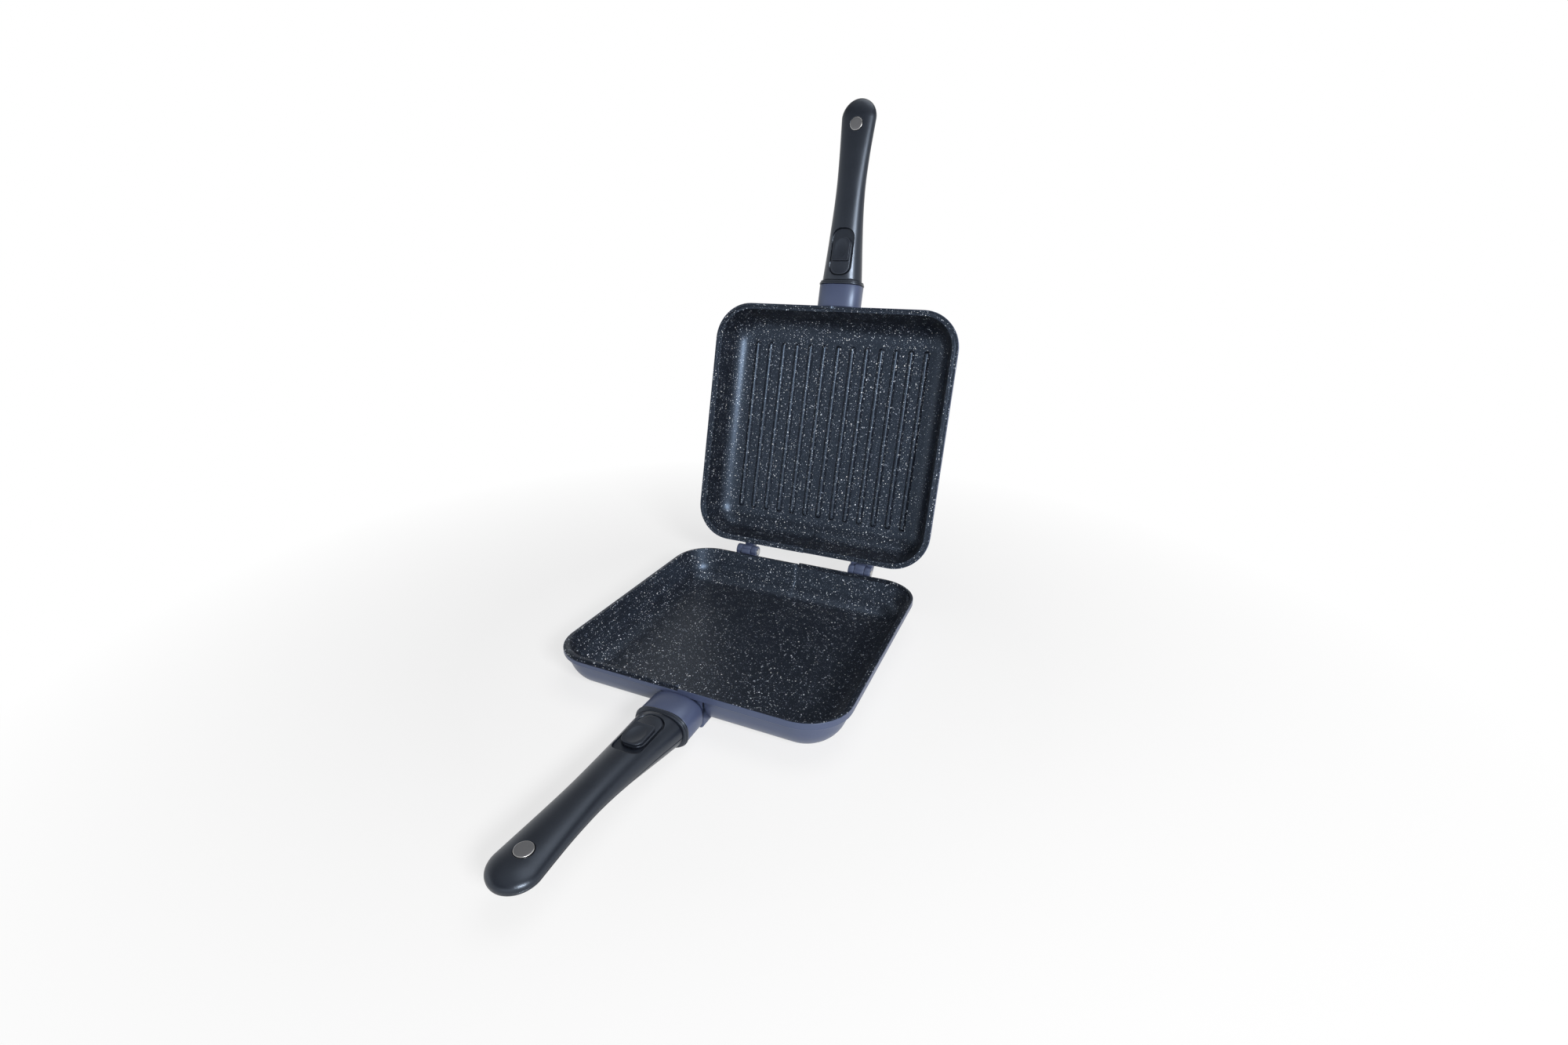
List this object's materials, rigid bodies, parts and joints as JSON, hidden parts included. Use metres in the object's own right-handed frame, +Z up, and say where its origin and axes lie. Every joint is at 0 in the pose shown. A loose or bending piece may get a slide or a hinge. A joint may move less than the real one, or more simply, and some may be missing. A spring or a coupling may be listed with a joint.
{
  "type": "griddle pan",
  "caption": "Hinged double-sided griddle pan: a smooth lower pan, a ridged lid that stands open, and a removable handle with a slide latch on each.",
  "frame": {"origin": "centre of the flat base of the lower pan", "axes": "+Z up, the handles point to -Y, the hinge is at +Y"},
  "size_m": [0.25, 0.5724, 0.4648],
  "materials": {
    "coated_casting": "speckled non-stick coating inside, matt grey paint outside",
    "grip": "satin black phenolic",
    "button": "satin black",
    "steel": "satin",
    "magnet": "nickel plated"
  },
  "bodies": {
    "lower_half": {"lower_pan": "coated_casting", "left_hinge_pin": "steel"},
    "lid": {"upper_pan": "coated_casting", "right_hinge_pin": "steel"},
    "lower_handle": {"lower_grip_top": "grip", "lower_grip_bottom": "grip", "lower_grip_screws": "steel", "lower_collar": "grip", "lower_tang": "steel", "lower_latch_spring": "steel", "lower_magnet": "magnet", "lower_magnet_cap": "steel"},
    "upper_handle": {"upper_grip_top": "grip", "upper_grip_bottom": "grip", "upper_grip_screws": "steel", "upper_collar": "grip", "upper_tang": "steel", "upper_latch_spring": "steel", "upper_magnet": "magnet", "upper_magnet_cap": "steel"},
    "lower_slide": {"lower_button": "button", "lower_latch_bolt": "steel"},
    "upper_slide": {"upper_button": "button", "upper_latch_bolt": "steel"}
  },
  "joints": [
    {"name": "lid_hinge", "type": "hinge", "parent": "lower_half", "child": "lid", "pos_m": [0, 0.132, 0.033], "axis": [1, 0, 0], "range_deg": [0, 104.4]},
    {"name": "lower_handle_pull", "type": "slide", "parent": "lower_half", "child": "lower_handle", "axis": [0, -1, 0], "range_m": [0, 0.03]},
    {"name": "upper_handle_pull", "type": "slide", "parent": "lid", "child": "upper_handle", "axis": [0, 0.2487, 0.9686], "range_m": [0, 0.03]},
    {"name": "lower_button_slide", "type": "slide", "parent": "lower_handle", "child": "lower_slide", "axis": [0, -1, 0], "range_m": [0, 0.0076], "stiffness_N_per_m": 400, "springref_m": -0.003, "deforming": ["lower_latch_spring"]},
    {"name": "upper_button_slide", "type": "slide", "parent": "upper_handle", "child": "upper_slide", "axis": [0, 0.2487, 0.9686], "range_m": [0, 0.0076], "stiffness_N_per_m": 400, "springref_m": -0.003, "deforming": ["upper_latch_spring"]}
  ]
}
